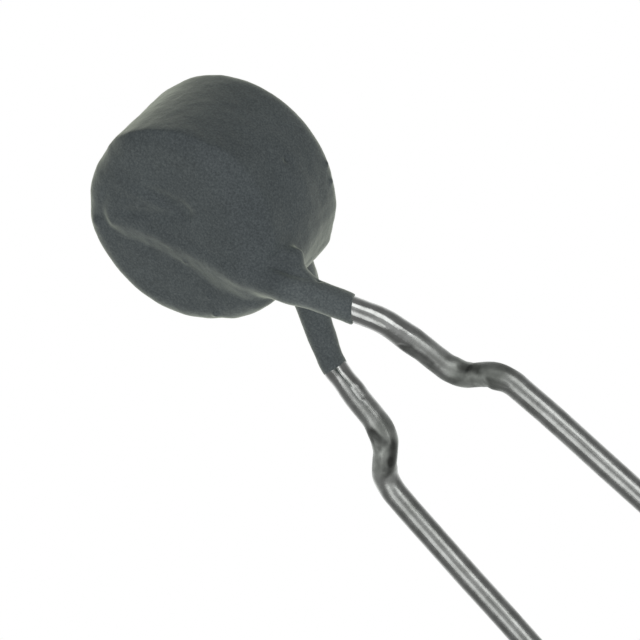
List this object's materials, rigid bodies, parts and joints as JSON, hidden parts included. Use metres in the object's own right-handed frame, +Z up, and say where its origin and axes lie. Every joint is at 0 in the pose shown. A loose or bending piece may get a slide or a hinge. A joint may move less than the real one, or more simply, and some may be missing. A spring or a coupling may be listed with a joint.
{
  "type": "ptc thermistor",
  "caption": "Dip-coated ceramic disc thermistor with a round wire lead soldered slantwise across each face, kinked above the board and running straight below it.",
  "frame": {"origin": "midway between the leads at the board surface, where the kinks rest on the hole edges", "axes": "+Z up from the board along the disc's middle, +X along the row of the leads towards the front face's lead, -Y the way the front face looks"},
  "size_m": [0.0088, 0.0036, 0.03],
  "materials": {
    "sintered_ceramic": "matte, dark grey-brown, pressed and sintered",
    "fired_silver": "matte silver-white screen print, fired on",
    "solder": "satin, solidified solder",
    "tinned_wire": "satin tin plate, drawn, with forming marks at the kinks",
    "dipped_lacquer": "matte dark blue-grey dipped lacquer with a fine grain"
  },
  "bodies": {
    "root": {"ceramic_disc": "sintered_ceramic", "front_electrode": "fired_silver", "back_electrode": "fired_silver", "front_solder": "solder", "back_solder": "solder", "front_lead": "tinned_wire", "back_lead": "tinned_wire", "coating": "dipped_lacquer"}
  },
  "joints": []
}
